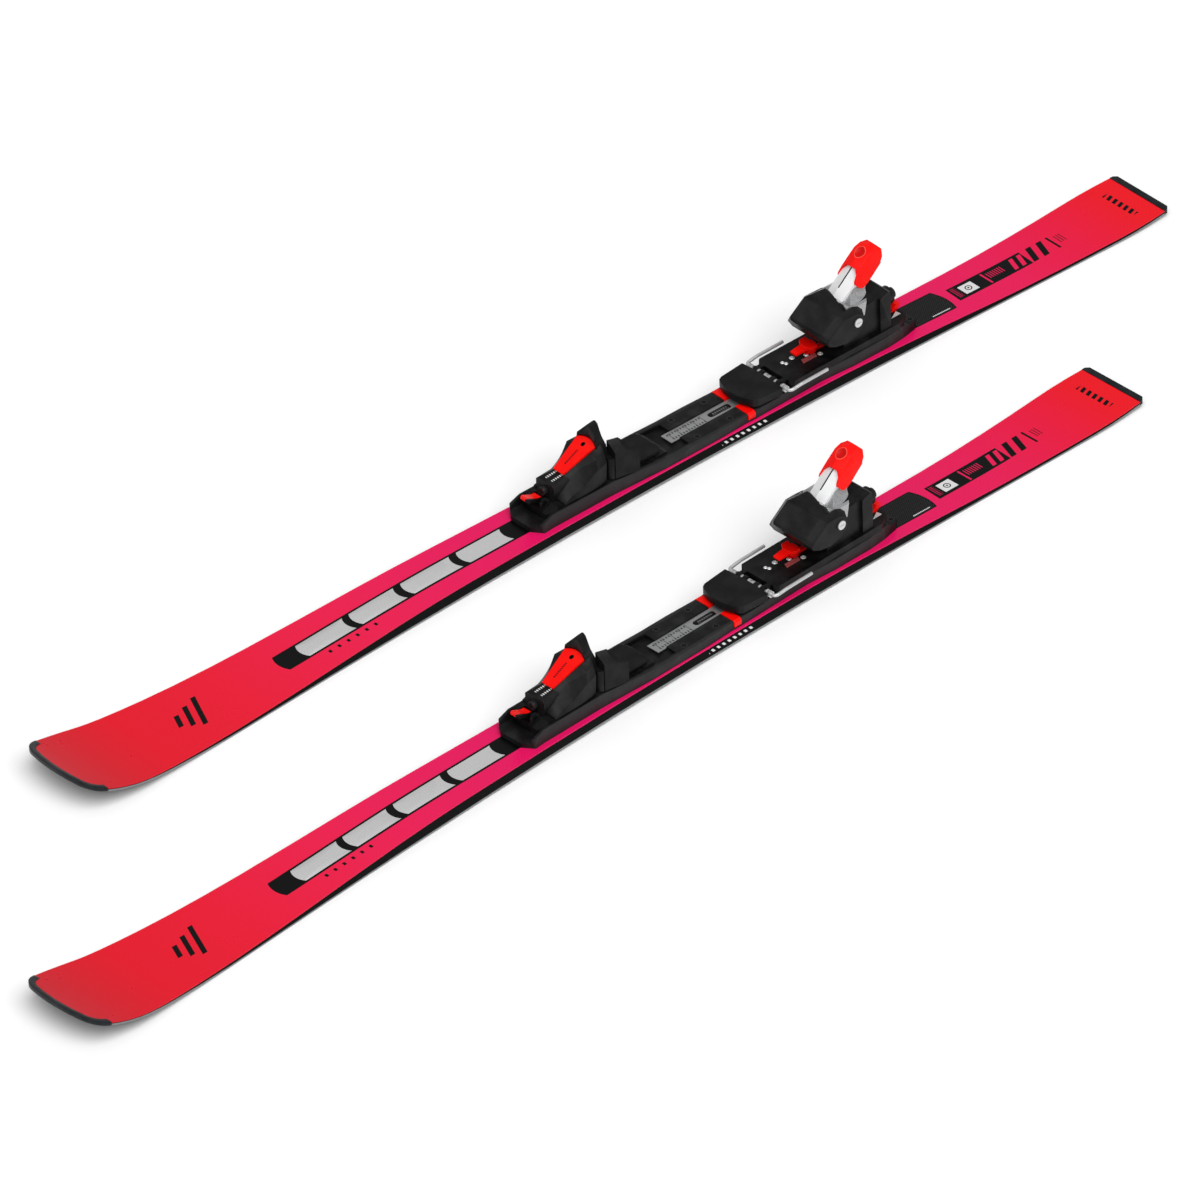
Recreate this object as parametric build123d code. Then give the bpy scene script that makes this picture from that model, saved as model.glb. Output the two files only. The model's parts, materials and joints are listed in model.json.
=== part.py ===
from build123d import *
import math
import os

os.makedirs("parts", exist_ok=True)

# Every length is in millimetres. A piece is modelled in its ski's own frame: +X to the tip, +Y to the left,
# +Z up, with the origin on the ground under the middle of the ski's length. Then it is placed for each ski.

# How the pair lies
SKI_OFFSET = (142.5, 141.9)  # half of the stagger along X, half of the distance between the skis along Y
SKI_YAW = 1.255  # each ski's tip turns outwards by this many degrees

# Clearances
GAP = 0.3  # between two pieces that slide or swing past each other
RUNNING = 0.05  # between a pin and its bore

# Ski, seen from above
HALF_LENGTH = 822.5
WAIST_X = -134.0
WAIST_HALF_WIDTH = 34.0
SIDECUT_RADIUS = 12700.0
SHOULDER_X = 740.0  # where the sidecut ends at the tip
TAIL = (-743.0, 47.0)  # where the sidecut ends at the tail
TIP_CORNER = (794.0, 61.0)  # where the tip's side turns into its corner
TIP_FRONT = (818.5, 37.0)  # where the corner turns into the blunt front
TIP_CORNER_RADIUS = 28.0
TAIL_HALF_WIDTH = 45.5
TAIL_CORNER = 4.0

# Ski, seen from the side
FRONT_CONTACT_X = 577.0
REAR_CONTACT_X = -650.0
CAMBER = 3.0
TIP_LOW = (700.0, 5.2)
TIP_HIGH = 35.5
TAIL_HIGH = 5.3
DECK_Z = 18.0  # top of the ski under the binding
DECK_ENDS = (-280.0, 240.0)
THIN_ENDS = (-650.0, 600.0)
THIN_Z = 6.8
END_THICKNESS = 4.8
OVERRUN = 5.0  # how far the side-view lines run past the ski's ends before its outline cuts them

# Ski, layer by layer
SOLE_THICKNESS = 2.0
EDGE_WIDTH = 2.0
SIDEWALL_WIDTH = 4.0
SHEET_THICKNESS = 1.2
GUARD_WIDTH = 8.0
GUARD_PROUD = 0.6
TIP_GUARD_X = 794.0
TAIL_GUARD_X = -814.0

# Damper inserts in front of the toe piece
INSERT_ENDS = ((153.0, 222.0), (229.0, 305.0), (312.0, 382.0), (388.0, 461.0))
INSERT_HALF_WIDTH = 12.5
INSERT_BULGE = 4.0  # how far the middle of each end stands towards the tip
INSERT_THICKNESS = 0.8

# Track plates, scale band and clip
PLATE_HALF_WIDTH = 31.5
PLATE_Z = 29.5
TOE_PLATE_HALF_WIDTH = 28.5
NOSE_X = 132.0
NOSE_Z = 25.0
WALL_Z = 36.0
WALL_X = (-58.0, 14.0, 108.0)  # where the channel's side walls start to rise, reach their height and end
CHANNEL_HALF_WIDTH = 25.0
CHANNEL_Z = 24.0
CHANNEL_REAR_X = -100.0
CLIP_X = (-195.0, -184.5)
CLIP_LOW_Z = 22.0
CLIP_PROUD = 0.8
BAND_X = (-200.0, -88.0)
BAND_HALF_WIDTH = 9.0
BAND_Z = 26.5
BAND_THICKNESS = 1.0
BAND_SLOT_X = -169.0
REAR_PLATE_X = (-455.0, -195.2)
REAR_PLATE_Z = 31.0
REAR_STEP_Z = 25.0
RAIL_X = (-430.0, -259.0)
RAIL_HALF_WIDTH = 12.0
RAIL_TOP = 34.0
SCREW_PLACES = ((-115.0, 22.0, PLATE_Z), (-165.0, 22.0, PLATE_Z), (-215.0, 24.0, PLATE_Z),
                (-446.0, 16.0, REAR_STEP_Z))  # x, distance from the middle, height of the head
SCREW_HEAD = (4.5, 2.5)
SCREW_SHANK = (2.5, 12.0)
SCREW_CROSS = (6.0, 1.6, 1.5)  # length, width and depth of the driver's cross

# Toe piece
TOE_X = (-72.0, 110.0)
TOE_DECK_Z = 38.0
PAD_DECK_Z = 35.0
HOUSING_X = (24.0, 75.0, 94.0)
HOUSING_TOP = (85.0, 61.0, 60.0)
TOE_SPRING_Z = 49.5
TOE_BORE_X = (40.0, 82.0)
TOE_BORE_RADIUS = 7.0
TOE_SCREW_RADIUS = 4.0
COVER_RISE = 0.3
COVER_THICKNESS = 2.7
PIVOT = (14.0, 21.0)  # pin of the left wing; the right wing's is its mirror
PIN_RADIUS = 3.5
PIN_TOP = 64.0
WING_BARREL = 6.5
WING_LOW = 38.4
LOCK_HINGE = (105.0, 42.0)
LOCK_HALF_WIDTH = 8.0
LOCK_PIN_RADIUS = 3.0
EAR_THICKNESS = 3.6
PAD_X = (-62.0, -24.0)
PAD_HALF_WIDTH = 22.0
PAD_Z = (35.3, 39.0)
PAD_TONGUE_X = (-49.7, -36.3)
PAD_TONGUE_DEPTH = 2.2

# Heel piece
HEEL_X = (-436.0, -252.0)
HEEL_DECK_Z = 40.0
HEEL_HALF_WIDTH = 30.0
TOWER_X = (-407.0, -391.0, -338.0)  # rear, where the tower gets narrower, front
TOWER_HALF_WIDTH = 27.7
TOWER_NECK_HALF_WIDTH = 24.0
FORK_Y = (24.4, 25.9)
CUP_ARM_Y = (26.2, 33.5)
CUP_WALL_X = -337.5
AXLE = (-351.5, 75.5)
AXLE_RADIUS = 4.0
HEEL_SPRING_Z = 60.0
HEEL_BORE_X = (-424.0, -360.0)
HEEL_BORE_RADIUS = 9.0
HEEL_SCREW_RADIUS = 4.0
HEEL_SCREW_HEAD = (6.5, 5.7)  # radius and length of the head
LEVER_FOOT = (-349.0, 97.0)
LEVER_TOP = (-404.0, 144.0)
LEVER_HALF_WIDTH = 13.0
LEVER_CROWN = 4.5  # how far the middle of the lever's face stands out from its foot line
LEVER_DEPTH = 9.0
BACK_PLATE = (33.0, 60.0, 2.0)  # where the steel plate behind the grip starts and ends, and its thickness
GRIP_BACK = 13.8
LOCK_STRIP_Z = (40.2, 43.2)
LOCK_STRIP_HALF_WIDTH = 3.0

# Brake
BRAKE_HINGE = (-243.0, 36.0)
WIRE_RADIUS = 2.0
WIRE_Y = 37.6
WIRE_REAR_X = -300.0
BRAKE_PAD_Z = (33.0, 43.0)
KNUCKLE_RADIUS = 5.0


# Basic shapes

def side_prism(outline, low, high):
    """A prism whose outline is given as (x, z) points, from y = low to y = high."""
    wire = Polyline(*[(x, low, z) for x, z in outline], close=True)
    return extrude(make_face(wire.edges()), high - low, dir=(0, 1, 0))


def plan_prism(outline, low, high):
    """A prism whose outline is given as (x, y) points, from z = low to z = high."""
    wire = Polyline(*[(x, y, low) for x, y in outline], close=True)
    return extrude(make_face(wire.edges()), high - low, dir=(0, 0, 1))


def front_prism(outline, low, high):
    """A prism whose outline is given as (y, z) points, from x = low to x = high."""
    wire = Polyline(*[(low, y, z) for y, z in outline], close=True)
    return extrude(make_face(wire.edges()), high - low, dir=(1, 0, 0))


def block(x, y, z):
    """A box between two limits on each axis."""
    return Pos(sum(x) / 2, sum(y) / 2, sum(z) / 2) * Box(x[1] - x[0], y[1] - y[0], z[1] - z[0])


def rod_x(radius, x, y, z):
    """A cylinder along X, between two x limits."""
    return Pos(sum(x) / 2, y, z) * Rot(0, 90, 0) * Cylinder(radius, x[1] - x[0])


def rod_y(radius, x, y, z):
    """A cylinder along Y, between two y limits."""
    return Pos(x, sum(y) / 2, z) * Rot(90, 0, 0) * Cylinder(radius, y[1] - y[0])


def rod_z(radius, x, y, z):
    """A cylinder along Z, between two z limits."""
    return Pos(x, y, sum(z) / 2) * Cylinder(radius, z[1] - z[0])


def both_sides(points):
    """An outline of points on the left side, continued as its mirror on the right side."""
    return list(points) + [(x, -y) for x, y in reversed(points)]


def arch(points):
    """A front-view outline of (half width, height) points, bottom up, closed by its mirror."""
    return list(points) + [(-y, z) for y, z in reversed(points)]


def mirrored(part):
    """The part's mirror on the other side of the ski."""
    return mirror(part, about=Plane.XZ)


# Ski

def sidecut(x):
    """Half of the ski's width at a station of the front sidecut."""
    return WAIST_HALF_WIDTH + (x - WAIST_X) ** 2 / (2 * SIDECUT_RADIUS)


def ski_plan():
    """The ski's outline from above."""
    shoulder = (SHOULDER_X, sidecut(SHOULDER_X))
    waist = (WAIST_X, WAIST_HALF_WIDTH)
    fore = TangentArc(waist, shoulder, tangent=(1, 0))
    rear = TangentArc(waist, TAIL, tangent=(-1, 0))
    flank = TangentArc(shoulder, TIP_CORNER, tangent=fore % 1)
    corner = RadiusArc(TIP_CORNER, TIP_FRONT, TIP_CORNER_RADIUS)
    reach = HALF_LENGTH - TAIL_CORNER
    run = TangentArc(TAIL, (-reach, TAIL_HALF_WIDTH), tangent=rear % 1)
    back_y = TAIL_HALF_WIDTH - TAIL_CORNER
    square = Line((-reach, TAIL_HALF_WIDTH), (-HALF_LENGTH, back_y))
    upper = [run, rear, fore, flank, corner, square]
    lower = [mirror(edge, about=Plane.XZ) for edge in upper]
    front = ThreePointArc(TIP_FRONT, (HALF_LENGTH, 0), (TIP_FRONT[0], -TIP_FRONT[1]))
    back = Line((-HALF_LENGTH, back_y), (-HALF_LENGTH, -back_y))
    return make_face([e for part in [front, back] + upper + lower for e in part.edges()])


def slab(plan, low=-10.0, high=80.0):
    """A face in the ground plane, drawn up between two heights."""
    return extrude(Pos(0, 0, low) * plan, high - low, dir=(0, 0, 1))


def ski_line(tail, middle, front, thickness):
    """A side-view line of the ski from tail to tip; the middle is given as its joined-up parts."""
    end = HALF_LENGTH + OVERRUN
    low = (TIP_LOW[0], TIP_LOW[1] + thickness)
    kick = TangentArc(tail, (-end, TAIL_HIGH + thickness), tangent=(-1, 0))
    rise = TangentArc(front, low, tangent=(1, 0))
    tip = TangentArc(low, (end, TIP_HIGH + thickness), tangent=rise % 1)
    return [kick] + middle + [rise, tip]


def base_line():
    """The underside of the ski."""
    tail, front = (REAR_CONTACT_X, 0), (FRONT_CONTACT_X, 0)
    crown = ((REAR_CONTACT_X + FRONT_CONTACT_X) / 2, CAMBER)
    level = ((1, 0), (1, 0))
    middle = [Spline(tail, crown, tangents=level), Spline(crown, front, tangents=level)]
    return ski_line(tail, middle, front, 0)


def top_line():
    """The top of the ski."""
    tail, front = (THIN_ENDS[0], THIN_Z), (THIN_ENDS[1], THIN_Z)
    rear_deck, front_deck = (DECK_ENDS[0], DECK_Z), (DECK_ENDS[1], DECK_Z)
    level = ((1, 0), (1, 0))
    middle = [Spline(tail, rear_deck, tangents=level), Line(rear_deck, front_deck),
              Spline(front_deck, front, tangents=level)]
    return ski_line(tail, middle, front, END_THICKNESS)


def raised(line, height):
    """The edges of a side-view line, moved up or down."""
    return [Pos(0, height, 0) * edge for part in line for edge in part.edges()]


def layer(low_line, low, high_line, high):
    """A layer across the whole ski, between two side-view lines that are each moved by a height."""
    below, above = raised(low_line, low), raised(high_line, high)
    ends = []
    for x in (-HALF_LENGTH - OVERRUN, HALF_LENGTH + OVERRUN):
        heights = sorted(v.Y for e in below + above for v in e.vertices() if abs(v.X - x) < 0.001)
        ends.append(Line((x, heights[0]), (x, heights[-1])))
    face = make_face(below + above + [e for part in ends for e in part.edges()])
    width = 160.0
    return Pos(0, width / 2, 0) * Rot(90, 0, 0) * extrude(face, width, dir=(0, 0, 1))


PLAN = ski_plan()
BASE = base_line()
TOP = top_line()
GUARD_ROOM = Pos((TIP_GUARD_X + TAIL_GUARD_X) / 2, 0) * Rectangle(TIP_GUARD_X - TAIL_GUARD_X, 200)
TIP_ROOM = Pos(TIP_GUARD_X + 50, 0) * Rectangle(100, 200)
TAIL_ROOM = Pos(TAIL_GUARD_X - 50, 0) * Rectangle(100, 200)


def inset(distance):
    """The ski's outline from above, drawn in all round."""
    return offset(PLAN, -distance, kind=Kind.INTERSECTION)


def between_guards(plan):
    """The part of a plan that the tip and tail guards leave."""
    return (plan & GUARD_ROOM) + (plan & inset(GUARD_WIDTH) & TIP_ROOM)


def along_sides(width):
    """The outer strip of the ski's plan, along both sides."""
    return (PLAN & GUARD_ROOM) - inset(width)


def screw_bodies():
    """Every plate screw as head and shank, before its driver cross is cut."""
    screws = []
    for x, y, top in SCREW_PLACES:
        for side in (-1, 1):
            head = rod_z(SCREW_HEAD[0], x, side * y, (top - SCREW_HEAD[1], top))
            foot = top - SCREW_HEAD[1] - SCREW_SHANK[1]
            screws.append(head + rod_z(SCREW_SHANK[0], x, side * y, (foot, top - 1)))
    return screws


SCREWS = screw_bodies()


def minus_screws(part):
    """The part with the screws' holes in it."""
    for screw in SCREWS:
        part = part - screw
    return part


def sole():
    return slab(between_guards(inset(EDGE_WIDTH))) & layer(BASE, 0, BASE, SOLE_THICKNESS)


def steel_edges():
    return slab(along_sides(EDGE_WIDTH)) & layer(BASE, 0, BASE, SOLE_THICKNESS)


def core():
    body = slab(between_guards(inset(SIDEWALL_WIDTH))) & layer(BASE, SOLE_THICKNESS, TOP, -SHEET_THICKNESS)
    return minus_screws(body)


def sidewalls():
    return slab(along_sides(SIDEWALL_WIDTH)) & layer(BASE, SOLE_THICKNESS, TOP, -SHEET_THICKNESS)


def top_sheet():
    sheet = slab(between_guards(PLAN)) & layer(TOP, -SHEET_THICKNESS, TOP, 0)
    return minus_screws(sheet - damper_inserts())


def end_guards():
    ring = (PLAN - inset(GUARD_WIDTH)) & TIP_ROOM
    return slab(ring + (PLAN & TAIL_ROOM)) & layer(BASE, 0, TOP, GUARD_PROUD)


def damper_inserts():
    half, bulge = INSERT_HALF_WIDTH, INSERT_BULGE
    cells = []
    for low, high in INSERT_ENDS:
        rear = ThreePointArc((low, half), (low + bulge, 0), (low, -half))
        front = ThreePointArc((high - bulge, half), (high, 0), (high - bulge, -half))
        sides = [Line((low, y), (high - bulge, y)) for y in (-half, half)]
        cell = make_face([edge for part in [rear, front] + sides for edge in part.edges()])
        cells.append(slab(cell) & layer(TOP, -INSERT_THICKNESS, TOP, 0.1))
    return Part() + cells


# Track plates, scale band and clip

def band_room(x):
    """The groove in which the scale band lies."""
    half = BAND_HALF_WIDTH + GAP
    return block(x, (-half, half), (BAND_Z, 60))


def front_plate():
    wide, toe = PLATE_HALF_WIDTH + 0.5, TOE_PLATE_HALF_WIDTH
    end = CLIP_X[1] + 0.2
    plan = both_sides([(NOSE_X, 16), (NOSE_X - 10, toe + 1), (WALL_X[2], toe), (20, toe), (-60, wide),
                       (-140, wide), (end, wide - 1.5), (CLIP_X[0], wide - 1.5)])
    side = [(NOSE_X, DECK_Z), (NOSE_X, NOSE_Z), (WALL_X[2], WALL_Z), (WALL_X[1], WALL_Z),
            (WALL_X[0], PLATE_Z + 1.5), (CHANNEL_REAR_X, PLATE_Z), (end, PLATE_Z), (end, CLIP_LOW_Z - 0.2),
            (CLIP_X[0], CLIP_LOW_Z - 0.2), (CLIP_X[0], DECK_Z)]
    body = plan_prism(plan, DECK_Z, WALL_Z) & side_prism(side, -60, 60)
    half = CHANNEL_HALF_WIDTH
    channel = block((CHANNEL_REAR_X, NOSE_X + 5), (-half, half), (CHANNEL_Z, 60))
    return body - channel - band_room((CLIP_X[1] - 5, CHANNEL_REAR_X + 1))


def rear_plate():
    wide = PLATE_HALF_WIDTH
    low, front = REAR_PLATE_X
    plan = both_sides([(front, wide - 0.5), (-250, wide - 1.5), (-300, wide - 2.5), (-345, wide),
                       (-400, wide - 1), (-425, wide - 4), (low + 8, wide - 9), (low, wide - 15)])
    side = [(front, 5), (front, PLATE_Z), (-232, PLATE_Z), (-240, REAR_PLATE_Z), (RAIL_X[0], REAR_PLATE_Z),
            (RAIL_X[0] - 7, REAR_STEP_Z), (low + 5, REAR_STEP_Z), (low, 18), (low, 5)]
    body = (plan_prism(plan, 5, 40) & side_prism(side, -60, 60)) - layer(BASE, -OVERRUN, TOP, 0)
    body = body - band_room((BAND_X[0] - 1, front + 1))
    return body + block(RAIL_X, (-RAIL_HALF_WIDTH, RAIL_HALF_WIDTH), (REAR_PLATE_Z - 1, RAIL_TOP))


def track_plates():
    return minus_screws(Part() + [front_plate(), rear_plate()])


def band_clip():
    wide, top, bevel = PLATE_HALF_WIDTH + CLIP_PROUD, PLATE_Z + CLIP_PROUD, 2.5
    outline = arch([(wide, CLIP_LOW_Z), (wide, top - bevel), (wide - bevel, top)])
    return front_prism(outline, CLIP_X[0], CLIP_X[1]) - band_room((CLIP_X[0] - 1, CLIP_X[1] + 1))


def scale_band():
    half, top = BAND_HALF_WIDTH, BAND_Z + BAND_THICKNESS
    band = block(BAND_X, (-half, half), (BAND_Z, top))
    slot = Pos(BAND_SLOT_X, 0, top) * extrude(SlotOverall(34, 9), 3, both=True)
    tab = Pos(BAND_SLOT_X, 0, BAND_Z) * extrude(SlotOverall(30, 5), BAND_THICKNESS, dir=(0, 0, 1))
    bridge = block((BAND_SLOT_X - 21, BAND_SLOT_X - 11), (-2, 2), (BAND_Z, top))
    return band - slot + tab + bridge


def plate_screws():
    length, width, depth = SCREW_CROSS
    turned = []
    for screw in SCREWS:
        middle = screw.center(CenterOf.BOUNDING_BOX)
        top = Pos(middle.X, middle.Y, screw.bounding_box().max.Z)
        turned.append(screw - top * Box(length, width, 2 * depth) - top * Box(width, length, 2 * depth))
    return Part() + turned


# Toe piece

def toe_base():
    wide = CHANNEL_HALF_WIDTH - GAP
    rear, front = TOE_X
    bottom = CHANNEL_Z + GAP
    plan = both_sides([(front, wide - 6), (front - 8, wide), (rear + 6, wide), (rear, wide - 6)])
    side = [(front, bottom), (front, 32), (96, TOE_DECK_Z), (PAD_X[1] + 4, TOE_DECK_Z), (PAD_X[1] + 1, PAD_DECK_Z),
            (rear + 8, PAD_DECK_Z), (rear, 31), (rear, bottom)]
    body = plan_prism(plan, bottom, TOE_DECK_Z) & side_prism(side, -40, 40)
    x, z = LOCK_HINGE
    ear = [(x - 7, 31), (x - 7, z + 2), (x - 3, z + 5), (x + 3, z + 5), (x + 5, z), (x + 5, 31)]
    inner = LOCK_HALF_WIDTH + 0.4
    for side_y in (-1, 1):
        body = body + rod_z(PIN_RADIUS, PIVOT[0], side_y * PIVOT[1], (TOE_DECK_Z - 2, PIN_TOP))
        low, high = sorted((side_y * inner, side_y * (inner + EAR_THICKNESS)))
        body = body + side_prism(ear, low, high)
    body = body - rod_y(LOCK_PIN_RADIUS + RUNNING, x, (-13, 13), z)
    body = body - block((x - 6, front + 2), (-inner, inner), (z - 6, 60))
    groove = (PAD_TONGUE_X[0] - GAP, PAD_TONGUE_X[1] + GAP)
    return body - block(groove, (-40, 40), (PAD_Z[0] - PAD_TONGUE_DEPTH - GAP, 60))


def housing_section(x, points):
    """A closed section of the toe housing at a station, from (half width, height) points, bottom up."""
    return make_face(Polyline(*[(x, y, z) for y, z in arch(points)], close=True).edges())


def housing_loft(stations):
    """A ruled body through (x, points) sections of the toe housing."""
    return loft([housing_section(x, points) for x, points in stations], ruled=True)


def toe_housing():
    rear, middle, front = HOUSING_X
    high, low, end = HOUSING_TOP
    fall = (low - high) / (middle - rear)
    shoulder = housing_loft([
        (rear, [(25, 38), (26, 64), (21, 79), (16, high)]),
        (38, [(26.5, 38), (27.5, 62), (25, 75.5), (14.5, high + fall * (38 - rear))]),
        (58, [(27, 38), (26.5, 50), (15, 66), (10.5, high + fall * (58 - rear))]),
        (middle, [(26.5, 38), (25, 44), (11.5, 58), (8.5, low)]),
        (88, [(26.5, 38), (26, 39.5), (15, 41), (9, 42)])])
    nose = housing_loft([
        (70, [(14, 38), (15, 50), (15, 59), (9, 62)]),
        (front, [(12, 38), (15, 50), (15, 57.5), (12.5, end)])])
    body = shoulder + nose + hood()
    body = body - rod_x(TOE_BORE_RADIUS, TOE_BORE_X, 0, TOE_SPRING_Z)
    return body - rod_x(TOE_SCREW_RADIUS + RUNNING, (TOE_BORE_X[1] - 5, front + 1), 0, TOE_SPRING_Z)


def hood():
    """The crest that stands behind the red cover, over both wings."""
    levels = [(69, (24, 0), (31, 24), (16, 19), (6, 0)), (80, (24, 0), (31, 17), (15, 15.5), (9, 0)),
              (90, (27, 0), (31, 15), (17.5, 11.5), (11, 0)), (100, (26.5, 0), (25.5, 6.5), (17, 6), (13, 0)),
              (106, (21.5, 0), (20.5, 1.5), (17.5, 1.5), (16.5, 0))]
    sections = []
    for z, front, corner, heel, rear in levels:
        outline = [front, corner, heel, rear, (heel[0], -heel[1]), (corner[0], -corner[1])]
        sections.append(make_face(Polyline(*[(x, y, z) for x, y in outline], close=True).edges()))
    return loft(sections, ruled=True) - cover_room()


def slope_plane():
    """The plane of the housing's sloping top, with its x axis down the slope."""
    run, fall = HOUSING_X[1] - HOUSING_X[0], HOUSING_TOP[0] - HOUSING_TOP[1]
    return Plane(origin=(HOUSING_X[0], 0, HOUSING_TOP[0]), x_dir=(run, 0, -fall), z_dir=(fall, 0, run))


def cover_outline(grow):
    """The red cover's outline on the slope: round at the back and narrow at the front."""
    back = ThreePointArc((7, 15 + grow), (2 - grow, 0), (7, -15 - grow))
    sides = Polyline((7, -15 - grow), (54 + grow, -8 - grow), (54 + grow, 8 + grow), (7, 15 + grow))
    return make_face(back.edges() + sides.edges())


def cover_room():
    """The space above the housing's slope that the red cover and a finger over it need."""
    return extrude(slope_plane() * cover_outline(GAP), 60, dir=slope_plane().z_dir)


def toe_cover():
    slope = slope_plane()
    plate = extrude(slope * Pos(0, 0, COVER_RISE) * cover_outline(0), COVER_THICKNESS, dir=slope.z_dir)
    return plate - slope * Pos(12, 0, COVER_THICKNESS) * Cylinder(2.2, 3.0)


def toe_spring():
    low, high = TOE_BORE_X
    coil = rod_x(TOE_BORE_RADIUS - GAP, (low + 1, high - 2), 0, TOE_SPRING_Z)
    return coil - rod_x(TOE_SCREW_RADIUS + 0.8, TOE_BORE_X, 0, TOE_SPRING_Z)


def toe_screw():
    front, z, radius = HOUSING_X[2], TOE_SPRING_Z, 5.5
    body = rod_x(TOE_SCREW_RADIUS, (62, front + 1), 0, z) + rod_x(radius, (front + GAP, front + 6), 0, z)
    slot = block((front + 3.5, front + 7), (-4, 4), (z - 0.9, z + 0.9))
    cross = block((front + 3.5, front + 7), (-0.9, 0.9), (z - 4, z + 4))
    return body - slot - cross


def wing_left():
    """The wing beside the boot's toe: low and thin at its tip, high where it meets the hood."""
    x, y = PIVOT
    sections = [(13, [(14, WING_LOW), (28.5, WING_LOW), (28.5, 74), (14, 84)]),
                (0, [(18.3, 39.4), (32, 39.4), (32, 71), (18.3, 84)]),
                (-9, [(26, 40.2), (34.7, 40.2), (34.7, 69), (26, 74.5)]),
                (-16, [(34.4, 41), (36.8, 41), (36.8, 67.5), (34.4, 68)])]
    arm = loft([make_face(Polyline(*[(station, py, pz) for py, pz in points], close=True).edges())
                for station, points in sections], ruled=True)
    barrel = rod_z(WING_BARREL, x, y, (WING_LOW, PIN_TOP + 2))
    return arm + barrel - rod_z(PIN_RADIUS + RUNNING, x, y, (WING_LOW - 1, PIN_TOP + GAP))


def wing_right():
    return mirrored(wing_left())


def toe_lock():
    x, z = LOCK_HINGE
    half = LOCK_HALF_WIDTH
    tab = side_prism([(x, z - 3.5), (x + 8, z + 2), (x + 19, z + 6), (x + 22, z + 9), (x + 22, z + 12),
                      (x + 17, z + 10.5), (x + 5, z + 5), (x, z + 3.9)], 1 - half, half - 1)
    plan = plan_prism(both_sides([(x - 4, half - 1), (x + 18, half - 1), (x + 22.5, 4)]), z - 6, z + 14)
    pin = rod_y(LOCK_PIN_RADIUS, x, (-half - 3.8, half + 3.8), z)
    return rod_y(LOCK_PIN_RADIUS + 1, x, (-half, half), z) + (tab & plan) + pin


def glide_pad():
    half, corner = PAD_HALF_WIDTH, 5
    rear, front = PAD_X
    plan = both_sides([(front, half - corner), (front - corner, half), (rear + corner, half),
                       (rear, half - corner)])
    plate = plan_prism(plan, PAD_Z[0], PAD_Z[1])
    return plate + block(PAD_TONGUE_X, (-15, 15), (PAD_Z[0] - PAD_TONGUE_DEPTH, PAD_Z[0] + 0.5))


# Heel piece

def heel_base():
    wide = HEEL_HALF_WIDTH
    rear, front = HEEL_X
    plan = both_sides([(front, wide - 5), (front - 5, wide), (rear + 18, wide), (rear, wide - 10)])
    room = RAIL_HALF_WIDTH + GAP
    deck = plan_prism(plan, REAR_PLATE_Z + GAP, HEEL_DECK_Z)
    deck = deck - block((rear - 1, front + 1), (-room, room), (20, RAIL_TOP + GAP))
    back, neck, face = TOWER_X
    outline = [(face, 38), (face, 74), (-346, 82), (-370, 83.2), (-390, 84.2), (-396, 86.5), (-404, 89.5),
               (back, 88), (back, 38)]
    tower = side_prism(outline, -TOWER_HALF_WIDTH, TOWER_HALF_WIDTH)
    for side in (-1, 1):
        low, high = sorted((side * TOWER_NECK_HALF_WIDTH, side * 40))
        tower = tower - block((neck, face + 1), (low, high), (HEEL_DECK_Z, 100))
    body = deck + tower + rod_x(11, (-428, -400), 0, HEEL_SPRING_Z)
    x, z = BRAKE_HINGE
    for low, high in ((16, 22), (-22, -16)):
        body = body + rod_y(KNUCKLE_RADIUS, x, (low, high), z)
        body = body + block((front - 1, x), (low, high), (z - 4.6, z + 4))
    body = body - rod_y(WIRE_RADIUS + RUNNING, x, (-40, 40), z)
    body = body - rod_y(AXLE_RADIUS, AXLE[0], (-40, 40), AXLE[1])
    body = body - rod_x(HEEL_BORE_RADIUS, HEEL_BORE_X, 0, HEEL_SPRING_Z)
    body = body - rod_x(HEEL_SCREW_RADIUS + RUNNING, (-430, -420), 0, HEEL_SPRING_Z)
    half = LOCK_STRIP_HALF_WIDTH + GAP
    return body - block((back - 3, face + 8), (-half, half), (HEEL_DECK_Z, LOCK_STRIP_Z[1] + GAP))


def cup_section(y, points):
    """A side-view section of the heel cup at a distance from the middle."""
    return make_face(Polyline(*[(x, y, z) for x, z in points], close=True).edges())


def heel_cup():
    inner, outer = CUP_ARM_Y
    middle = [(-279, 98), (-279, 102.5), (-301, 118.5), (-333, 115), (-343, 106), (-357, 97), (-364, 86),
              (-367, 74), (-362, 62), (-350, 54), (-333, 51), (-313, 60), (-297, 72), (-294.5, 78)]
    shoulder = [(-301, 72.5), (-303, 77.5), (-325, 93.5), (-340, 94), (-350, 94), (-358, 91), (-364.5, 84),
                (-367, 74), (-362, 62), (-350, 54), (-333, 51), (-316, 57), (-305, 63.5), (-302, 69)]
    cheek = [(-305, 67.6), (-308, 71), (-331, 88), (-342, 88), (-349, 87.5), (-356.5, 84), (-361, 79),
             (-361.5, 72), (-358, 65), (-350, 59), (-335, 55), (-318, 58), (-308, 62.5), (-305.5, 66)]
    half = loft([cup_section(0, middle), cup_section(inner, shoulder), cup_section(outer, cheek)], ruled=True)
    body = half + mirrored(half)
    body = body - block((-380, CUP_WALL_X), (-inner, inner), (30, 130))
    return body - rod_y(AXLE_RADIUS + RUNNING, AXLE[0], (-40, 40), AXLE[1])


def heel_axle():
    x, z = AXLE
    face = CUP_ARM_Y[1] + GAP
    pin = rod_y(AXLE_RADIUS, x, (-face - 1, face + 1), z)
    for low, high in ((face, face + 1.4), (-face - 1.4, -face)):
        pin = pin + rod_y(AXLE_RADIUS + 1.5, x, (low, high), z)
    return pin - block((x - 3.5, x + 3.5), (face + 0.6, face + 2), (z - 0.8, z + 0.8))


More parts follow.
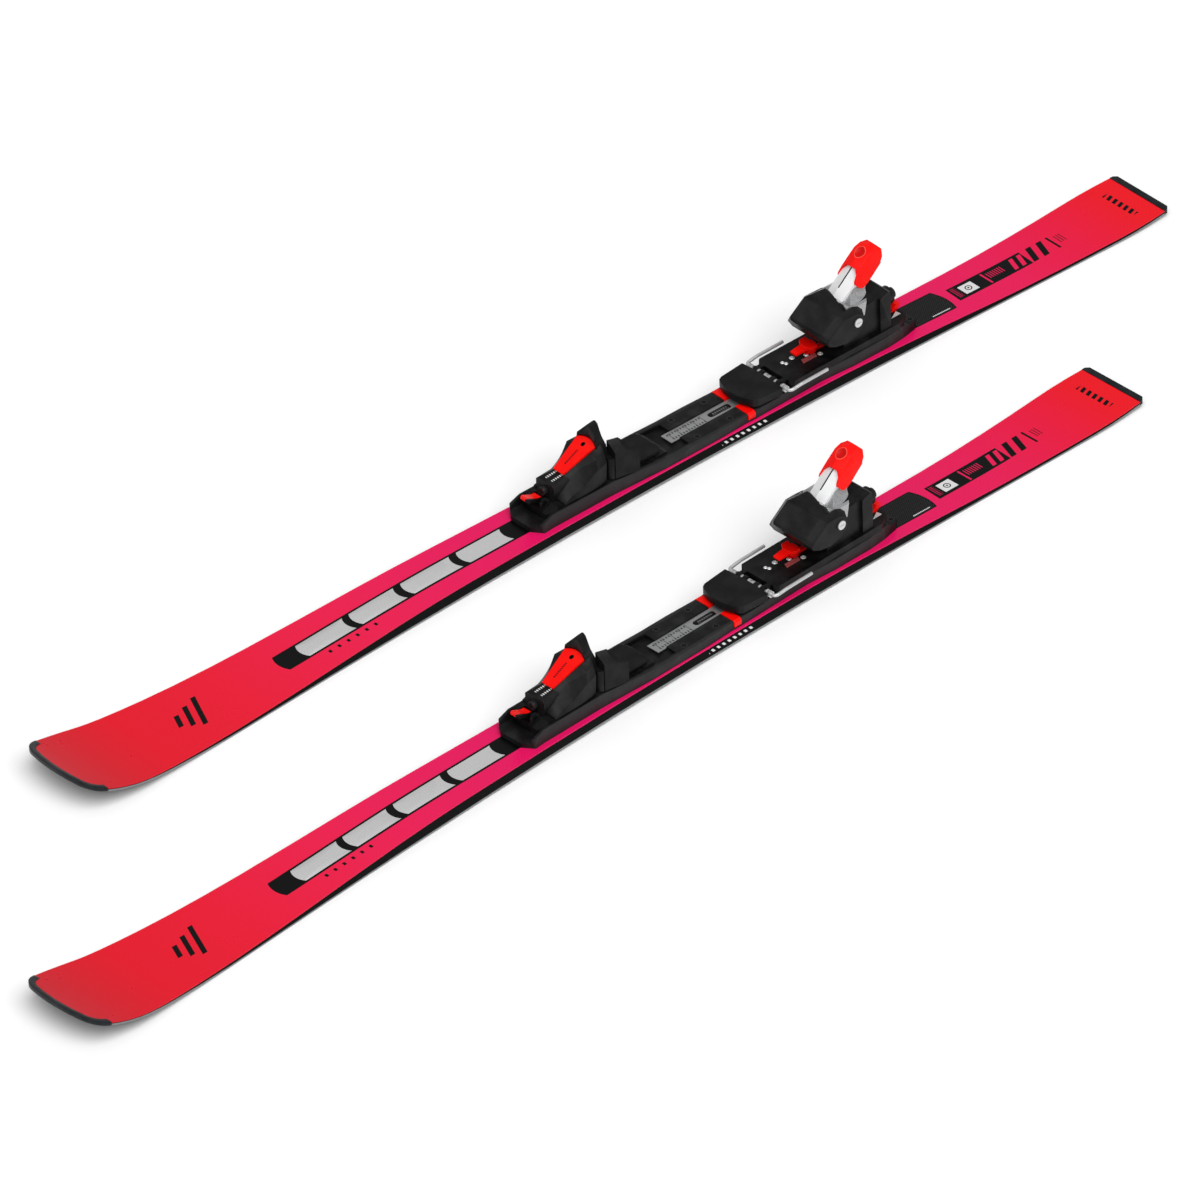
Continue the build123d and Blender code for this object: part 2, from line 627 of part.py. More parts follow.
def heel_spring():
    low, high = HEEL_BORE_X
    coil = rod_x(HEEL_BORE_RADIUS - GAP, (low + 2, high - 1), 0, HEEL_SPRING_Z)
    return coil - rod_x(HEEL_SCREW_RADIUS + 0.8, HEEL_BORE_X, 0, HEEL_SPRING_Z)


def heel_screw():
    z = HEEL_SPRING_Z
    radius, length = HEEL_SCREW_HEAD
    seat = -428 - GAP
    body = rod_x(HEEL_SCREW_RADIUS, (seat - 1, -380), 0, z) + rod_x(radius, (seat - length, seat), 0, z)
    slot = block((seat - length - 1, seat - length + 2.5), (-4.5, 4.5), (z - 0.9, z + 0.9))
    return body - slot


def on_lever(points):
    """(x, z) places of points given along the lever and out from the line of its face."""
    run, rise = LEVER_TOP[0] - LEVER_FOOT[0], LEVER_TOP[1] - LEVER_FOOT[1]
    length = math.hypot(run, rise)
    run, rise = run / length, rise / length
    return [(LEVER_FOOT[0] + s * run + t * rise, LEVER_FOOT[1] + s * rise - t * run) for s, t in points]


def lever_section(along, points):
    """A section across the lever, from (half width, distance out) points, ending at its middle."""
    (x, z), (tip_x, tip_z) = on_lever([(along, 0), (along, 1)])
    outline = arch(points[:-1])
    outline.insert(len(points) - 1, points[-1])
    places = [(x + out * (tip_x - x), y, z + out * (tip_z - z)) for y, out in outline]
    return make_face(Polyline(*places, close=True).edges())


def lever_bar():
    """The lever's white bar, with a crowned face, without its fork."""
    points = [(LEVER_HALF_WIDTH, -LEVER_DEPTH), (LEVER_HALF_WIDTH, 1), (0, LEVER_CROWN)]
    return loft([lever_section(-3, points), lever_section(54, points)], ruled=True)


def lever_fork():
    """The steel cheeks that carry the bar on the axle, and the plate that runs up behind the grip."""
    x, z = AXLE
    inner, outer = FORK_Y
    start, end, thickness = BACK_PLATE
    back = GRIP_BACK + thickness
    outline = [(x + 10, z), (-342, 98)] + on_lever([(-2, -2), (30, -2), (36, -10), (start, -back)]) + [
        (-372.5, 93), (-369, 74), (x - 9, z - 4), (x, z - 10), (x + 8, z - 6)]
    taper = arch([(outer, 60), (outer, 91), (24, 95), (15.5, 101), (13.2, 106), (13.2, 140)])
    cheeks = side_prism(outline, -outer, outer) & front_prism(taper, -420, -330)
    under = [(x + 12, 60), (x + 12, z + 14), (x + 6, 91), (-372, 96), (-378, 98), (-400, 98), (-400, 60)]
    plate = side_prism(on_lever([(start, -GRIP_BACK), (end, -GRIP_BACK), (end, -back), (start, -back)]), -16, 16)
    return cheeks - side_prism(under, -inner, inner) + plate


def heel_lever():
    slot = side_prism(on_lever([(14, LEVER_CROWN + 1), (38, LEVER_CROWN + 1), (38, LEVER_CROWN - 1.2),
                                (14, LEVER_CROWN - 1.2)]), -0.9, 0.9)
    body = lever_bar() + lever_fork() - slot
    return body - rod_y(AXLE_RADIUS + RUNNING, AXLE[0], (-40, 40), AXLE[1])


def lever_grip():
    back = -GRIP_BACK
    sections = [(21.5, [(17.2, -8), (15, 0), (0, 5.5)]), (24, [(17.4, -12), (14.5, 2), (0, 6.5)]),
                (32, [(17.5, back), (13.2, 4.5), (0, 8)]), (42, [(17.5, back), (12.4, 5.6), (0, 8.8)]),
                (57.5, [(17, back), (12, 5.6), (0, 8.5)]), (66, [(15.5, -11.5), (11, 3), (0, 5.5)]),
                (72.5, [(11.5, -8), (7.5, -1), (0, 0.5)])]
    body = loft([lever_section(along, points) for along, points in sections], ruled=True)
    run, rise = LEVER_TOP[0] - LEVER_FOOT[0], LEVER_TOP[1] - LEVER_FOOT[1]
    face = Plane(origin=(LEVER_FOOT[0], 0, LEVER_FOOT[1]), x_dir=(run, 0, rise), z_dir=(rise, 0, -run))
    mouth = make_face(Polyline(*both_sides([(18, 13.6), (31, 11.8), (36.5, 7)]), close=True).edges())
    body = body - extrude(face * mouth, 30, both=True)
    dimple = face * Pos(57, 0, 15.5) * Sphere(10.5)
    return body - dimple - lever_bar() - lever_fork()


def heel_lock():
    low, high = LOCK_STRIP_Z
    half = LOCK_STRIP_HALF_WIDTH
    strip = block((-430, -300), (-half, half), (low, high))
    stem = side_prism([(-282, 48), (-282, 50.5), (-300, 53), (-312, 53), (-312, low), (-304, low), (-298, 48)],
                      -5, 5)
    bar = plan_prism([(-297, -5), (-297, 4), (-301, 9), (-311, 9), (-308, 0), (-312, -12), (-302, -12)], 49, 53)
    tab = side_prism([(-424, low), (-426, 44), (-432, 48), (-438, 48), (-438, 45), (-432, low)], -9, 9)
    return strip + stem + bar + tab


# Brake

def brake_pad():
    low, high = BRAKE_PAD_Z
    front = ThreePointArc((-195, -28.5), (-187.5, 0), (-195, 28.5))
    rear = ThreePointArc((-235, 34), (-237, 0), (-235, -34))
    left = Polyline((-195, 28.5), (-200, 31), (-235, 34))
    right = Polyline((-235, -34), (-200, -31), (-195, -28.5))
    outline = make_face(front.edges() + left.edges() + rear.edges() + right.edges())
    body = extrude(Pos(0, 0, low) * outline, high - low, dir=(0, 0, 1))
    x, z = BRAKE_HINGE
    for edge in (-12, 6):
        body = body + rod_y(KNUCKLE_RADIUS, x, (edge, edge + 6), z)
        body = body + block((x, -234), (edge, edge + 6), (z - 3, z + 4.5))
    return body - rod_y(WIRE_RADIUS + RUNNING, x, (-40, 40), z)


def brake_arms():
    x, z = BRAKE_HINGE
    half = [(WIRE_REAR_X, WIRE_Y, z + 2.5), (x - 18, WIRE_Y, z + 2), (x, WIRE_Y - 0.5, z)]
    route = half + [(px, -py, pz) for px, py, pz in reversed(half)]
    path = FilletPolyline(*route, radius=5)
    profile = Plane(origin=path @ 0, z_dir=path % 0) * Circle(WIRE_RADIUS)
    return sweep(profile, path=path)


PIECES = [sole, steel_edges, core, sidewalls, top_sheet, end_guards, damper_inserts, track_plates, scale_band,
          band_clip, plate_screws, toe_base, toe_housing, toe_cover, toe_spring, toe_screw, wing_left, wing_right,
          toe_lock, glide_pad, heel_base, heel_cup, heel_axle, heel_spring, heel_screw, heel_lever, lever_grip,
          heel_lock, brake_pad, brake_arms]

PLACES = {"right": Location((-SKI_OFFSET[0], -SKI_OFFSET[1], 0), (0, 0, -SKI_YAW)),
          "left": Location((SKI_OFFSET[0], SKI_OFFSET[1], 0), (0, 0, SKI_YAW))}

for piece in PIECES:
    shape = piece()
    for side, place in PLACES.items():
        export_step(place * shape, f"parts/{side}_{piece.__name__}.step")
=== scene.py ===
import json
import math

import bmesh
import bpy
from mathutils import Matrix, Vector
from mathutils.bvhtree import BVHTree


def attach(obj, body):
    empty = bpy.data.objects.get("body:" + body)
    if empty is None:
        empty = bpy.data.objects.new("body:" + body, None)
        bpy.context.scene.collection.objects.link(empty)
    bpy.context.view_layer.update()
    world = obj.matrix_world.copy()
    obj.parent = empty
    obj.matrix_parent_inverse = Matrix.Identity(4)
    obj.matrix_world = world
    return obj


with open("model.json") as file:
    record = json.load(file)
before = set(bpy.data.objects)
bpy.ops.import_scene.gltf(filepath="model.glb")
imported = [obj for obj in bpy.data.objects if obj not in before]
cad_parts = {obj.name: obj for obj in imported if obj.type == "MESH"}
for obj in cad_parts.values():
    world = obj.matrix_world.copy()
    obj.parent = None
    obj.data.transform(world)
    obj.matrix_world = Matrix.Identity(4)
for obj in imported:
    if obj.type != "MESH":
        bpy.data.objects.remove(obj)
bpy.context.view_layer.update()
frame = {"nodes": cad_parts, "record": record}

SIDES = ("right", "left")
SKI_OFFSET = (0.1425, 0.1419)  # half of the stagger, half of the distance between the skis
SKI_YAW = 1.255  # degrees that each tip turns outwards
SIGN = {"right": -1, "left": 1}


def ski_matrix(side):
    """The place of a ski's own frame in the row frame."""
    sign = SIGN[side]
    turn = Matrix.Rotation(math.radians(sign * SKI_YAW), 4, "Z")
    return Matrix.Translation((sign * SKI_OFFSET[0], sign * SKI_OFFSET[1], 0)) @ turn


# Camera, floor and light

AZIMUTH, ELEVATION, ROLL = 137.96, 36.0, -2.0
DISTANCE = 22.046
AIM = Vector((0.00666, 0.00261, 0))
FOCAL = 593.5


def make_camera():
    """The long lens that sees both skis from the front left."""
    a, e, r = (math.radians(v) for v in (AZIMUTH, ELEVATION, ROLL))
    back = Vector((math.sin(a) * math.cos(e), -math.cos(a) * math.cos(e), math.sin(e)))
    right = (-back).cross(Vector((0, 0, 1))).normalized()
    up = right.cross(-back)
    across = right * math.cos(r) + up * math.sin(r)
    above = up * math.cos(r) - right * math.sin(r)
    data = bpy.data.cameras.new("camera")
    data.lens = FOCAL
    data.sensor_width = 36
    data.clip_start = 0.5
    data.clip_end = 80
    camera = bpy.data.objects.new("camera", data)
    turn = Matrix((across, above, back)).transposed().to_4x4()
    camera.matrix_world = Matrix.Translation(AIM + back * DISTANCE) @ turn
    bpy.context.scene.collection.objects.link(camera)
    bpy.context.scene.camera = camera


def make_softbox(name, azimuth, elevation, strength, spread):
    """An even, distant studio light from a direction, as wide as spread degrees."""
    data = bpy.data.lights.new(name, "SUN")
    data.energy = strength
    data.angle = math.radians(spread)
    light = bpy.data.objects.new(name, data)
    a, e = math.radians(azimuth), math.radians(elevation)
    back = Vector((math.sin(a) * math.cos(e), -math.cos(a) * math.cos(e), math.sin(e)))
    light.rotation_euler = (-back).to_track_quat("-Z", "Y").to_euler()
    bpy.context.scene.collection.objects.link(light)


def make_studio():
    """A pale floor, an even pale surround and two wide, soft lights from the camera's side."""
    mesh = bpy.data.meshes.new("floor")
    reach = 40
    mesh.from_pydata([(-reach, -reach, 0), (reach, -reach, 0), (reach, reach, 0), (-reach, reach, 0)], [],
                     [(0, 1, 2, 3)])
    floor = bpy.data.objects.new("floor", mesh)
    bpy.context.scene.collection.objects.link(floor)
    paint = bpy.data.materials.new("floor_paint")
    paint.use_nodes = True
    shader = paint.node_tree.nodes["Principled BSDF"]
    shader.inputs["Base Color"].default_value = (0.93, 0.93, 0.93, 1)
    shader.inputs["Roughness"].default_value = 0.9
    shader.inputs["Specular IOR Level"].default_value = 0.1
    mesh.materials.append(paint)
    world = bpy.data.worlds.new("surround")
    world.use_nodes = True
    world.node_tree.nodes["Background"].inputs["Color"].default_value = (1, 1, 1, 1)
    world.node_tree.nodes["Background"].inputs["Strength"].default_value = 0.42
    bpy.context.scene.world = world
    make_softbox("key", 165, 58, 2.25, 60)
    make_softbox("fill", 110, 40, 0.6, 60)
    bpy.context.scene.view_settings.view_transform = "Standard"


make_camera()
make_studio()


# Brightness of the studio, which turns screen colours into base colours

LIGHT = 1.13  # how bright a white upward face is under the studio's light
GLARE = 0.015  # what its reflection adds
LOWEST, HIGHEST = 0.0012, 0.95  # the darkest and palest base colours


# Shader arithmetic

class Field:
    """A value in a material's node tree, with ordinary arithmetic."""

    def __init__(self, tree, value):
        self.tree, self.value = tree, value

    def of(self, operation, *others):
        node = self.tree.nodes.new("ShaderNodeMath")
        node.operation = operation
        for socket, given in zip(node.inputs, (self,) + others):
            given = given.value if isinstance(given, Field) else given
            if isinstance(given, (int, float)):
                socket.default_value = given
            else:
                self.tree.links.new(given, socket)
        return Field(self.tree, node.outputs[0])

    def __add__(self, other):
        return self.of("ADD", other)

    def __sub__(self, other):
        return self.of("SUBTRACT", other)

    def __mul__(self, other):
        return self.of("MULTIPLY", other)

    def size(self):
        return self.of("ABSOLUTE")

    def below(self, other):
        return self.of("LESS_THAN", other)

    def above(self, other):
        return self.of("GREATER_THAN", other)

    def most(self, other):
        return self.of("MAXIMUM", other)

    def ramp(self, low, high):
        """0 below low, 1 above high and smooth in between."""
        node = self.tree.nodes.new("ShaderNodeMapRange")
        node.interpolation_type = "SMOOTHSTEP"
        node.inputs["From Min"].default_value = low
        node.inputs["From Max"].default_value = high
        self.tree.links.new(self.value, node.inputs["Value"])
        return Field(self.tree, node.outputs["Result"])

    def wave(self, pitch, offset=0.0):
        """A saw that counts 0 to 1 over each pitch."""
        return ((self - offset) * (1 / pitch)).of("FRACT")


class Finish:
    """A material under construction, in the frame of one ski, in millimetres."""

    def __init__(self, name, side):
        self.material = bpy.data.materials.new(f"{name}_{side}")
        self.material.use_nodes = True
        self.tree = self.material.node_tree
        self.shader = self.tree.nodes["Principled BSDF"]
        coordinates = self.tree.nodes.new("ShaderNodeTexCoord")
        frame_turn = self.tree.nodes.new("ShaderNodeMapping")
        frame_turn.vector_type = "TEXTURE"
        sign = SIGN[side]
        frame_turn.inputs["Location"].default_value = (sign * SKI_OFFSET[0], sign * SKI_OFFSET[1], 0)
        frame_turn.inputs["Rotation"].default_value = (0, 0, math.radians(sign * SKI_YAW))
        frame_turn.inputs["Scale"].default_value = (0.001, 0.001, 0.001)
        self.tree.links.new(coordinates.outputs["Object"], frame_turn.inputs["Vector"])
        self.place = frame_turn.outputs["Vector"]
        split = self.tree.nodes.new("ShaderNodeSeparateXYZ")
        self.tree.links.new(self.place, split.inputs[0])
        self.x, self.y, self.z = (Field(self.tree, s) for s in split.outputs)
        self.heights = []

    def noise(self, size, detail=3.0, stretch=(1, 1, 1), roughness=0.55):
        """Noise whose cells are about size millimetres, drawn out by stretch."""
        mapping = self.tree.nodes.new("ShaderNodeMapping")
        mapping.inputs["Scale"].default_value = [1 / (size * s) for s in stretch]
        self.tree.links.new(self.place, mapping.inputs["Vector"])
        node = self.tree.nodes.new("ShaderNodeTexNoise")
        node.inputs["Scale"].default_value = 1.0
        node.inputs["Detail"].default_value = detail
        node.inputs["Roughness"].default_value = roughness
        self.tree.links.new(mapping.outputs[0], node.inputs["Vector"])
        return Field(self.tree, node.outputs["Fac"])

    def cells(self, size, feature="F1"):
        """Distance to the nearest point of a scattered pattern whose cells are about size millimetres."""
        mapping = self.tree.nodes.new("ShaderNodeMapping")
        mapping.inputs["Scale"].default_value = (1 / size,) * 3
        self.tree.links.new(self.place, mapping.inputs["Vector"])
        node = self.tree.nodes.new("ShaderNodeTexVoronoi")
        node.feature = feature
        node.inputs["Scale"].default_value = 1.0
        self.tree.links.new(mapping.outputs[0], node.inputs["Vector"])
        return Field(self.tree, node.outputs["Distance"])

    def stripes(self, pitch, angle=0.0, cut=0.5):
        """Hard stripes across X and Y, turned by an angle in degrees and covering a share of the pitch."""
        c, s = math.cos(math.radians(angle)), math.sin(math.radians(angle))
        return (self.x * c + self.y * s).wave(pitch).below(cut)

    def box(self, x, y):
        """1 inside a rectangle given by its limits."""
        across = (self.x - sum(x) / 2).size().below((x[1] - x[0]) / 2)
        return across * (self.y - sum(y) / 2).size().below((y[1] - y[0]) / 2)

    def slanted(self, x, y, lean):
        """1 inside a parallelogram whose x limits move by lean for each millimetre of y."""
        across = (self.x - self.y * lean - sum(x) / 2).size().below((x[1] - x[0]) / 2)
        return across * (self.y - sum(y) / 2).size().below((y[1] - y[0]) / 2)

    def ring(self, x, y, inner, outer):
        """1 between two radii round a point."""
        dx, dy = self.x - x, self.y - y
        reach = (dx * dx + dy * dy).of("SQRT")
        return reach.above(inner) * reach.below(outer)

    def rgb(self, colour):
        """A base colour that looks like an 8-bit screen colour in the studio's light."""
        linear = [((c / 255 + 0.055) / 1.055) ** 2.4 if c > 10 else c / 3294.6 for c in colour]
        return [min(HIGHEST, max(LOWEST, (c - GLARE) / LIGHT)) for c in linear] + [1.0]

    def gradient(self, stops):
        """A colour that follows X through (millimetre, colour) stops."""
        low, high = stops[0][0], stops[-1][0]
        node = self.tree.nodes.new("ShaderNodeValToRGB")
        ramp = node.color_ramp
        for i, (x, colour) in enumerate(stops):
            spot = (x - low) / (high - low)
            stop = ramp.elements[i] if i < 2 else ramp.elements.new(spot)
            if i < 2:
                stop.position = spot
            stop.color = self.rgb(colour)
        self.tree.links.new(((self.x - low) * (1 / (high - low))).value, node.inputs[0])
        return node.outputs["Color"]

    def mix(self, mask, low, high):
        """The low colour where mask is 0 and the high colour where it is 1."""
        node = self.tree.nodes.new("ShaderNodeMix")
        node.data_type = "RGBA"
        self.tree.links.new(mask.value, node.inputs["Factor"])
        for socket, colour in ((node.inputs[6], low), (node.inputs[7], high)):
            if isinstance(colour, (tuple, list)):
                socket.default_value = self.rgb(colour)
            else:
                self.tree.links.new(colour, socket)
        return node.outputs[2]

    def colour(self, source):
        self.tree.links.new(source, self.shader.inputs["Base Color"])
        return self

    def rough(self, field):
        self.tree.links.new(field.value, self.shader.inputs["Roughness"])
        return self

    def metal(self, field):
        self.tree.links.new(field.value, self.shader.inputs["Metallic"])
        return self

    def fixed(self, **values):
        for name, value in values.items():
            self.shader.inputs[name.replace("_", " ")].default_value = value
        return self

    def bump(self, field, depth, strength=1.0):
        """Relief whose height is depth millimetres where the field is 1."""
        node = self.tree.nodes.new("ShaderNodeBump")
        node.inputs["Strength"].default_value = strength
        node.inputs["Distance"].default_value = depth / 1000
        self.tree.links.new(field.value, node.inputs["Height"])
        if self.heights:
            self.tree.links.new(self.heights[-1], node.inputs["Normal"])
        self.heights.append(node.outputs["Normal"])
        self.tree.links.new(node.outputs["Normal"], self.shader.inputs["Normal"])
        return self


# Colours on screen
INK = (18, 18, 18)
WHITE = (228, 228, 228)
DAMPER_HALF_WIDTH = 15.5
GRIP_DIMPLE = (-382.3, 145.8)  # X and Z of the middle of the ball that hollows the grip, round which painted shade fills the dimple and a painted highlight rings its rim
# radii of the painted shade in the grip's dimple and of the painted highlight on its rim
DIMPLE_SHADE_RADIUS, LIP_HIGHLIGHT_RADIUS = 10.7, 11.5
SLASH_ROW = (-176.5, 34.5)  # middle and half length of the row of slashes on the sidewall
PINK_STOPS = ((-822, (238, 26, 40)), (-780, (235, 29, 44)), (-700, (232, 35, 70)), (-600, (231, 37, 90)),
              (-450, (231, 33, 101)), (-300, (236, 31, 107)), (0, (236, 30, 108)), (160, (229, 33, 99)),
              (320, (234, 39, 88)), (420, (235, 40, 78)), (560, (233, 37, 58)), (700, (229, 34, 48)),
              (760, (219, 35, 47)), (822, (206, 36, 46)))


def moulded(name, side, colour, glow, rough):
    """Moulded plastic: fine spark-eroded grain, slight shade changes, and scuffed high spots."""
    f = Finish(name, side)
    shade = f.noise(22, 4)
    scuff = f.noise(5, 6, (3, 1, 1), 0.7).ramp(0.62, 0.78)
    base = f.mix(shade.ramp(0.3, 0.75) * 0.45, colour, glow)
    f.colour(f.mix(scuff * 0.18, base, tuple(min(255, c + 26) for c in glow)))
    f.rough(f.noise(9, 3) * 0.18 + (rough - 0.09))
    f.bump(f.noise(0.42, 2) * 0.7 + f.cells(0.6) * 0.5, 0.045, 0.55)
    f.fixed(Specular_IOR_Level=0.16)
    return f


def top_graphic(side):
    """The printed top sheet, with its fading red, its dark fields and its plain geometric marks."""
    f = Finish("top_graphic", side)
    ground = f.gradient(PINK_STOPS)
    weave = f.stripes(1.6, 45) + f.stripes(1.6, -45)
    ground = f.mix(weave * 0.035, ground, (255, 120, 140))
    # the black field round the damper inserts, with its rounded front
    damper = f.box((120, 476), (-DAMPER_HALF_WIDTH, DAMPER_HALF_WIDTH))
    nose = f.ring(462.5, 0, -1, 30.5) * f.box((470, 495), (-DAMPER_HALF_WIDTH, DAMPER_HALF_WIDTH))
    # the woven insert behind the heel piece, with its rounded far end and a row of fine pale ticks
    woven = f.box((-518, -430), (-21.5, 21.5)) * f.ring(-462, 3, -1, 54.6)
    field = f.box((-518, -430), (-20, 20)) * f.ring(-462, 3, -1, 53)
    fine = f.box((-507, -480), (16.2, 18.0)) * f.x.wave(2.2).below(0.65)
    carbon = f.mix(f.stripes(2.4, 32) * f.stripes(2.4, -32), (24, 24, 26), (64, 64, 66))
    # the strip of plain marks near the tail
    label = f.slanted((-640, -527), (-13.5, 13.5), 0.05)
    bars = f.box((-606, -582), (-8, 3)) * f.stripes(3.4, 0, 0.35)
    bars = bars.most(f.box((-537, -531), (-11, 9)) * f.stripes(2.8, 0, 0.3))
    bars = bars.most(f.box((-580, -577.5), (-11, 11)))
    bars = bars.most(f.slanted((-636, -630), (-10, 10), 0.35)).most(f.slanted((-624, -618), (-10, 10), 0.35))
    chip = f.box((-561, -541), (-8.5, 8.5))
    chip_marks = chip * (f.ring(-551, 0, 3.2, 4.6).most(f.ring(-551, 0, -1, 1.3)))
    tail = f.slanted((-654, -646), (-13, 13), 0.35).most(f.slanted((-670, -662), (-13, 13), 0.35))
    tail = tail.most(f.box((-684, -681), (-13, 13)))
    tail = tail.most(f.box((-699, -689), (-9, 6)) * f.stripes(3.6, 0, 0.3))
    dashes = f.box((-792, -783), (-26, 26)) * (f.y - f.x * 0.3).wave(9.0).below(0.55)
    # plain marks on the shovel: three slanted bars, and a row of ticks beside the damper
    shovel = f.slanted((606, 613), (-24, 24), 0.45).most(f.slanted((621, 628), (-17, 17), 0.45))
    shovel = shovel.most(f.slanted((636, 643), (-10, 10), 0.45))
    ticks = f.box((360, 446), (20.5, 25.5)) * f.x.wave(13.5, 2).below(0.28)
    ink = damper.most(nose).most(woven).most(label - (label * bars))
    ink = ink.most(tail).most(dashes).most(shovel).most(ticks)
    painted = f.mix(ink, ground, f.mix(f.noise(14, 4) * 0.5, INK, (34, 34, 35)))
    painted = f.mix(fine, f.mix(field, painted, carbon), WHITE)
    painted = f.mix(chip, painted, (222, 222, 222))
    painted = f.mix(chip_marks, painted, INK)
    wear = f.noise(2.5, 8, (14, 1, 1), 0.75).ramp(0.66, 0.8)
    f.colour(f.mix(wear * 0.03, painted, (255, 225, 225)))
    f.rough(f.noise(30, 5) * 0.1 + ink * 0.06 + 0.24)
    f.bump(f.noise(0.9, 2) * 0.5 + (ink * 0.8), 0.05, 0.5)
    f.bump(f.noise(1.2, 6, (60, 1, 1), 0.7).ramp(0.6, 0.8), 0.01, 0.25)
    f.fixed(Specular_IOR_Level=0.12)
    return f


def sidewall_black(side):
    """Sanded phenolic sidewall, with a row of plain pale slashes at mid-ski."""
    f = Finish("sidewall_black", side)
    streak = f.noise(0.5, 6, (60, 1, 1), 0.7)
    slash = (f.x - f.z * 0.9 - 8).wave(8.4).below(0.42)
    row = slash * (f.x - SLASH_ROW[0]).size().below(SLASH_ROW[1])
    row = row * (f.z - 11.2).size().below(2.1) * f.y.above(0)
    base = f.mix(streak * 0.6, (8, 8, 8), (26, 26, 27))
    f.colour(f.mix(row, base, WHITE))
    f.rough(streak * 0.25 + 0.4)
    f.bump(streak, 0.04, 0.5)
    f.fixed(Specular_IOR_Level=0.05)
    return f


def edge_steel(side):
    """Ground steel edge with lengthwise file marks."""
    f = Finish("edge_steel", side)
    lines = f.noise(0.35, 7, (120, 1, 1), 0.75)
    f.colour(f.mix(lines, (118, 120, 122), (176, 178, 180)))
    f.rough(lines * 0.22 + 0.26)
    f.bump(lines, 0.02, 0.6)
    f.fixed(Metallic=0.9)
    return f


def ski_base(side):
    """Black sintered base with its ground structure along the ski."""
    f = Finish("ski_base", side)
    grind = f.y.wave(0.8).below(0.5) + f.noise(0.6, 5, (50, 1, 1), 0.7)
    f.colour(f.mix(f.noise(18, 5), (22, 22, 23), (44, 44, 46)))
    f.rough(f.noise(6, 4) * 0.2 + 0.34)
    f.bump(grind, 0.03, 0.5)
    return f


def wood_core(side):
    """Laminated wood, seen only at screw holes."""
    f = Finish("wood_core", side)
    grain = f.noise(0.8, 6, (50, 1, 1), 0.65)
    f.colour(f.mix(grain, (142, 104, 66), (198, 160, 112)))
    f.rough(grain * 0.2 + 0.5)
    f.bump(grain, 0.08, 0.5)
    return f


def guard_black(side):
    """Hard rubbery tip and tail guard."""
    return moulded("guard_black", side, (34, 36, 38), (62, 66, 68), 0.36)


def insert_silver(side):
    """Pale woven insert plate under clear lacquer."""
    f = Finish("insert_silver", side)
    twill = f.stripes(1.5, 58, 0.5) + f.stripes(1.5, -58, 0.5)
    f.colour(f.mix(twill * 0.5, (176, 176, 176), (226, 226, 226)))
    f.rough(f.noise(2, 3) * 0.2 + 0.3)
    f.bump(twill * 0.5, 0.06, 0.7)
    f.fixed(Metallic=0.2, Coat_Weight=0.3, Coat_Roughness=0.2)
    return f


def band_steel(side):
    """Brushed steel band with two rows of short scale marks."""
    f = Finish("band_steel", side)
    brushed = f.noise(0.3, 7, (80, 1, 1), 0.7)
    upper = f.x.wave(4.0).below(0.42) * (f.y - 4.6).size().below(1.5)
    lower = f.x.wave(4.0, 1.7).below(0.42) * (f.y + 4.6).size().below(1.5)
    centre = f.x.wave(12.0).below(0.06) * f.y.size().below(7.5)
    marks = upper.most(lower).most(centre) * (f.x + 118).size().below(26)
    steel = f.mix(marks, f.mix(brushed, (142, 143, 144), (196, 197, 198)), (58, 58, 60))
    window = f.box((-184, -154), (-2.5, 2.5))
    lines = f.box((-181, -157), (-1.3, 1.3)) * f.x.wave(3.2).below(0.5)
    f.colour(f.mix(lines, f.mix(window, steel, INK), (150, 150, 152)))
    f.rough(brushed * 0.25 + 0.28)
    f.bump(brushed + marks * -1.4, 0.03, 0.6)
    f.fixed(Metallic=0.65)
    return f


def red_plastic(side):
    """Bright red moulding: the toe cover has a keyhole and plain dashes, the toe lock a black hub, and the
    grip painted shade in its dimple with a painted highlight round its rim.
    """
    f = Finish("red_plastic", side)
    shade = f.noise(16, 4)
    dashes = f.box((44, 64), (-1.3, 1.3)) * f.x.wave(2.3).below(0.6) * f.z.above(62)
    hole = f.ring(35.7, 0, -1, 2.7) * f.z.above(80)
    hub = f.x.above(95) * f.y.above(3.5)
    # painted shade: the grip's dimple is coloured darker, and a painted highlight makes its rim paler
    dx, dz = f.x - GRIP_DIMPLE[0], f.z - GRIP_DIMPLE[1]
    reach = (dx * dx + f.y * f.y + dz * dz).of("SQRT")
    dimple_shade = reach.below(DIMPLE_SHADE_RADIUS)
    lip_highlight = reach.below(LIP_HIGHLIGHT_RADIUS) - dimple_shade
    base = f.mix(shade.ramp(0.25, 0.8), (246, 26, 24), (252, 40, 34))
    base = f.mix(lip_highlight, f.mix(dimple_shade, base, (206, 16, 18)), (255, 88, 76))
    f.colour(f.mix(hub.most(hole), f.mix(dashes, base, (92, 14, 14)), INK))
    f.rough(f.noise(7, 4) * 0.16 + 0.28)
    f.bump(f.noise(0.45, 2) * 0.6 + f.cells(0.7) * 0.4 + dashes * -6.0, 0.04, 0.5)
    f.fixed(Specular_IOR_Level=0.16)
    return f


def screw_black(side):
    """Blackened steel of the screws and the rings round the axle."""
    f = Finish("screw_black", side)
    swirl = f.noise(0.6, 5)
    f.colour(f.mix(swirl, (24, 24, 25), (58, 58, 60)))
    f.rough(swirl * 0.2 + 0.3)
    f.bump(swirl, 0.03, 0.5)
    f.fixed(Specular_IOR_Level=0.2)
    return f


def screw_steel(side):
    """Bright zinc-plated steel of the axle's heads and the rivets."""
    f = Finish("screw_steel", side)
    swirl = f.noise(0.6, 5)
    f.colour(f.mix(swirl, (196, 197, 198), (240, 240, 241)))
    f.rough(swirl * 0.2 + 0.18)
    f.bump(swirl, 0.02, 0.5)
    f.fixed(Metallic=0.4)
    return f


